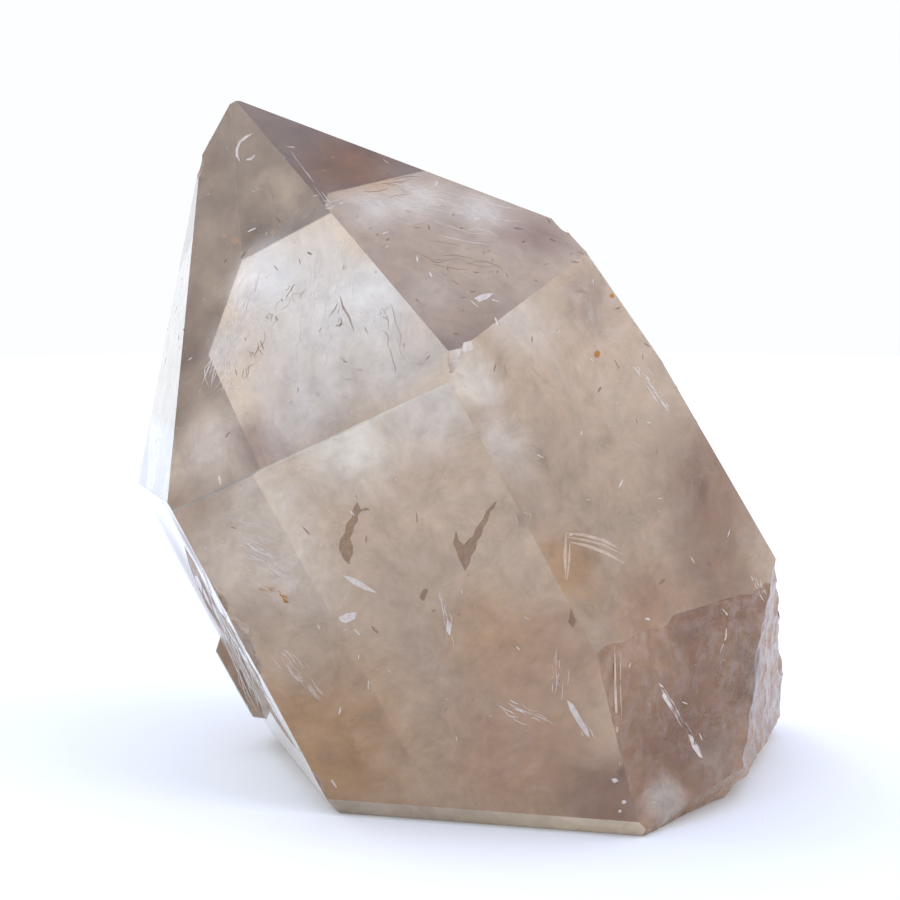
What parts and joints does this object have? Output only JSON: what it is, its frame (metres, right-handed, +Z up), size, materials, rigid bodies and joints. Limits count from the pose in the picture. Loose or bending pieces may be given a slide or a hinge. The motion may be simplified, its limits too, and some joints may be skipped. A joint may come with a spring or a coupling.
{
  "type": "citrine crystal point",
  "caption": "Free-standing clear brown crystal with flat prism faces, a pyramidal tip, a broken lower corner and a flat base, for display.",
  "frame": {"origin": "centre of the bounding box on the flat base that the crystal stands on", "axes": "+Z up from the base, -Y towards the pictured front, and the long axis leans towards -X"},
  "size_m": [0.0788, 0.0614, 0.0781],
  "materials": {
    "citrine": "natural crystal faces, clear pale brown with milky veils inside, dull where it is broken"
  },
  "bodies": {
    "root": {"crystal_point": "citrine"}
  },
  "joints": []
}
